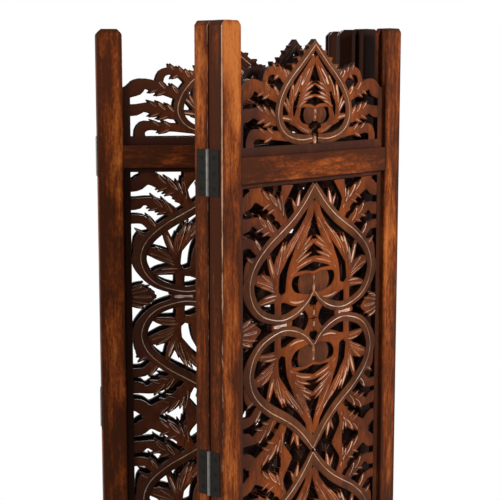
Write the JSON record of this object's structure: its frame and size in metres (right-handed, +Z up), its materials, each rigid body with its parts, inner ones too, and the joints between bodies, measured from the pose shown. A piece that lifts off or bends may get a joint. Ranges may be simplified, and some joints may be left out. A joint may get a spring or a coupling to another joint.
{
  "type": "folding screen",
  "caption": "Free-standing wooden folding screen: grooved posts and rails hold boards of sawn and carved spade-leaf fretwork, with carved crests, hinged to fold flat.",
  "frame": {"origin": "middle of the standing screen's footprint box, on the floor", "axes": "+Z up; +Y away from the picture's viewer, square to the picture; +X to the viewer's right"},
  "size_m": [0.5782, 0.5632, 1.829],
  "materials": {
    "frame_wood": "reddish-brown stain under worn satin wax, dark straight grain, pale worn arrises",
    "carved_wood": "darker reddish-brown stain, pale bare wood in the incised lines and chip cuts",
    "hinge_steel": "charcoal blackened steel, rubbed brighter on the knuckles"
  },
  "bodies": {
    "panel_1": {"panel1_left_post": "frame_wood", "panel1_right_post": "frame_wood", "panel1_top_rail": "frame_wood", "panel1_bottom_rail": "frame_wood", "panel1_fretwork": "carved_wood", "panel1_crest": "carved_wood", "hinge12_1_outer_leaf": "hinge_steel", "hinge12_2_outer_leaf": "hinge_steel", "hinge12_3_outer_leaf": "hinge_steel", "hinge12_4_outer_leaf": "hinge_steel", "hinge12_pins": "hinge_steel"},
    "panel_2": {"panel2_left_post": "frame_wood", "panel2_right_post": "frame_wood", "panel2_top_rail": "frame_wood", "panel2_bottom_rail": "frame_wood", "panel2_fretwork": "carved_wood", "panel2_crest": "carved_wood", "hinge12_1_inner_leaf": "hinge_steel", "hinge12_2_inner_leaf": "hinge_steel", "hinge12_3_inner_leaf": "hinge_steel", "hinge12_4_inner_leaf": "hinge_steel", "hinge23_1_outer_leaf": "hinge_steel", "hinge23_2_outer_leaf": "hinge_steel", "hinge23_3_outer_leaf": "hinge_steel", "hinge23_4_outer_leaf": "hinge_steel", "hinge23_pins": "hinge_steel"},
    "panel_3": {"panel3_left_post": "frame_wood", "panel3_right_post": "frame_wood", "panel3_top_rail": "frame_wood", "panel3_bottom_rail": "frame_wood", "panel3_fretwork": "carved_wood", "panel3_crest": "carved_wood", "hinge23_1_inner_leaf": "hinge_steel", "hinge23_2_inner_leaf": "hinge_steel", "hinge23_3_inner_leaf": "hinge_steel", "hinge23_4_inner_leaf": "hinge_steel", "hinge34_1_outer_leaf": "hinge_steel", "hinge34_2_outer_leaf": "hinge_steel", "hinge34_3_outer_leaf": "hinge_steel", "hinge34_4_outer_leaf": "hinge_steel", "hinge34_pins": "hinge_steel"},
    "panel_4": {"panel4_left_post": "frame_wood", "panel4_right_post": "frame_wood", "panel4_top_rail": "frame_wood", "panel4_bottom_rail": "frame_wood", "panel4_fretwork": "carved_wood", "panel4_crest": "carved_wood", "hinge34_1_inner_leaf": "hinge_steel", "hinge34_2_inner_leaf": "hinge_steel", "hinge34_3_inner_leaf": "hinge_steel", "hinge34_4_inner_leaf": "hinge_steel"}
  },
  "joints": [
    {"name": "fold_12", "type": "hinge", "parent": "panel_2", "child": "panel_1", "pos_m": [-0.06258, -0.26559, 0.9], "axis": [0, 0, 1], "range_deg": [-177.4, 2.6]},
    {"name": "fold_23", "type": "hinge", "parent": "panel_2", "child": "panel_3", "pos_m": [0.22802, 0.15653, 0.9], "axis": [0, 0, 1], "range_deg": [-133.1, 46.9]},
    {"name": "fold_34", "type": "hinge", "parent": "panel_3", "child": "panel_4", "pos_m": [-0.28419, 0.14004, 0.9], "axis": [0, 0, 1], "range_deg": [-7.7, 172.3]}
  ]
}
